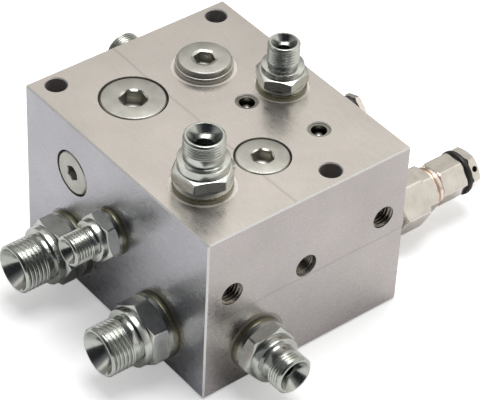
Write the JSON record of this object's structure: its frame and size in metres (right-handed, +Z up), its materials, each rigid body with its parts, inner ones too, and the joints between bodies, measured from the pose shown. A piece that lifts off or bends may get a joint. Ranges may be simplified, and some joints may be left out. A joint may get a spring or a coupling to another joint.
{
  "type": "hydraulic non-return valve block",
  "caption": "Ported steel block with spring-loaded non-return valves, a relief valve cartridge, a throttle, screwed-in adapters and closing plugs.",
  "frame": {"origin": "middle of the mounting face under the block", "axes": "+Z up out of the mounting face, +X along the front face towards the relief valve, -Y out of the front face with the tapped holes"},
  "size_m": [0.1954, 0.169, 0.1045],
  "materials": {
    "block_steel": "milled, satin",
    "bright_zinc": "bright zinc plated",
    "yellow_zinc": "yellow passivated zinc",
    "rubber": "matt",
    "plug_steel": "zinc plated, satin",
    "nickel": "nickel plated, bright",
    "copper": "bare copper",
    "spring_steel": "drawn wire",
    "hard_steel": "hardened and ground"
  },
  "bodies": {
    "valve": {"valve_block": "block_steel", "adapter_top_front": "bright_zinc", "seal_ring_top_front": "yellow_zinc", "adapter_top_tank": "bright_zinc", "seal_ring_top_tank": "yellow_zinc", "adapter_left_middle": "bright_zinc", "seal_ring_left_middle": "yellow_zinc", "adapter_left_front": "bright_zinc", "seal_ring_left_front": "yellow_zinc", "adapter_left_rear": "bright_zinc", "seal_ring_left_rear": "yellow_zinc", "adapter_front": "bright_zinc", "seal_ring_front": "yellow_zinc", "adapter_back": "bright_zinc", "seal_ring_back": "yellow_zinc", "seal_ring_junction": "yellow_zinc", "seal_ring_relief": "yellow_zinc", "seal_ring_throttle": "yellow_zinc", "seal_lips_small": "rubber", "seal_lips_medium": "rubber", "seal_lips_large": "rubber", "seal_lip_relief": "rubber", "plug_gasket_rear_check": "rubber", "plug_gasket_front_check": "rubber", "plug_gasket_upper_lane": "rubber", "relief_cap_ring": "rubber", "plug_rear_check": "plug_steel", "plug_front_check": "plug_steel", "plug_junction": "plug_steel", "plug_upper_lane": "plug_steel", "expander_sleeve_outlet": "plug_steel", "expander_sleeve_relief": "plug_steel", "expander_sleeve_tank": "plug_steel", "relief_body": "nickel", "relief_lock_nut": "nickel", "relief_cap_nut": "nickel", "relief_closing_screw": "nickel", "throttle_body": "nickel", "relief_copper_washer": "copper", "rear_check_spring": "spring_steel", "front_check_spring": "spring_steel", "relief_spring": "spring_steel", "rear_check_seat": "hard_steel", "front_check_seat": "hard_steel", "relief_seat": "hard_steel", "expander_ball_outlet": "hard_steel", "expander_ball_relief": "hard_steel", "expander_ball_tank": "hard_steel"},
    "rear_poppet": {"rear_check_poppet": "hard_steel"},
    "front_poppet": {"front_check_poppet": "hard_steel"},
    "relief_poppet": {"relief_poppet": "hard_steel"},
    "relief_plate": {"relief_spring_plate": "hard_steel"},
    "relief_screw": {"relief_adjusting_screw": "nickel"},
    "throttle_needle": {"throttle_needle": "hard_steel"},
    "throttle_spindle": {"throttle_spindle": "nickel", "throttle_wiper": "rubber"}
  },
  "joints": [
    {"name": "rear_check_lift", "type": "slide", "parent": "valve", "child": "rear_poppet", "axis": [0, 0, 1], "range_m": [0, 0.004], "stiffness_N_per_m": 400, "springref_m": -0.005, "deforming": ["rear_check_spring"]},
    {"name": "front_check_lift", "type": "slide", "parent": "valve", "child": "front_poppet", "axis": [0, 0, 1], "range_m": [0, 0.003], "stiffness_N_per_m": 300, "springref_m": -0.005, "deforming": ["front_check_spring"]},
    {"name": "relief_lift", "type": "slide", "parent": "valve", "child": "relief_poppet", "axis": [1, 0, 0], "range_m": [0, 0.002], "stiffness_N_per_m": 1500, "springref_m": -0.004, "deforming": ["relief_spring"]},
    {"name": "relief_adjust_shift", "type": "slide", "parent": "valve", "child": "relief_plate", "axis": [1, 0, 0], "range_m": [-0.002, 0.003], "deforming": ["relief_spring"]},
    {"name": "relief_adjust_turn", "type": "hinge", "parent": "relief_plate", "child": "relief_screw", "pos_m": [0.0975, -0.0304, 0.0185], "axis": [1, 0, 0], "range_deg": [-481, 721]},
    {"name": "throttle_shift", "type": "slide", "parent": "valve", "child": "throttle_needle", "axis": [1, 0, 0], "range_m": [0, 0.004]},
    {"name": "throttle_turn", "type": "hinge", "parent": "throttle_needle", "child": "throttle_spindle", "pos_m": [0.101, 0.028, 0.0192], "axis": [1, 0, 0], "range_deg": [-1, 1153]}
  ],
  "couplings": [
    {"joint": "relief_adjust_turn", "follows": "relief_adjust_shift", "rad_per_m": 4188.8},
    {"joint": "throttle_turn", "follows": "throttle_shift", "rad_per_m": 5026.5}
  ]
}
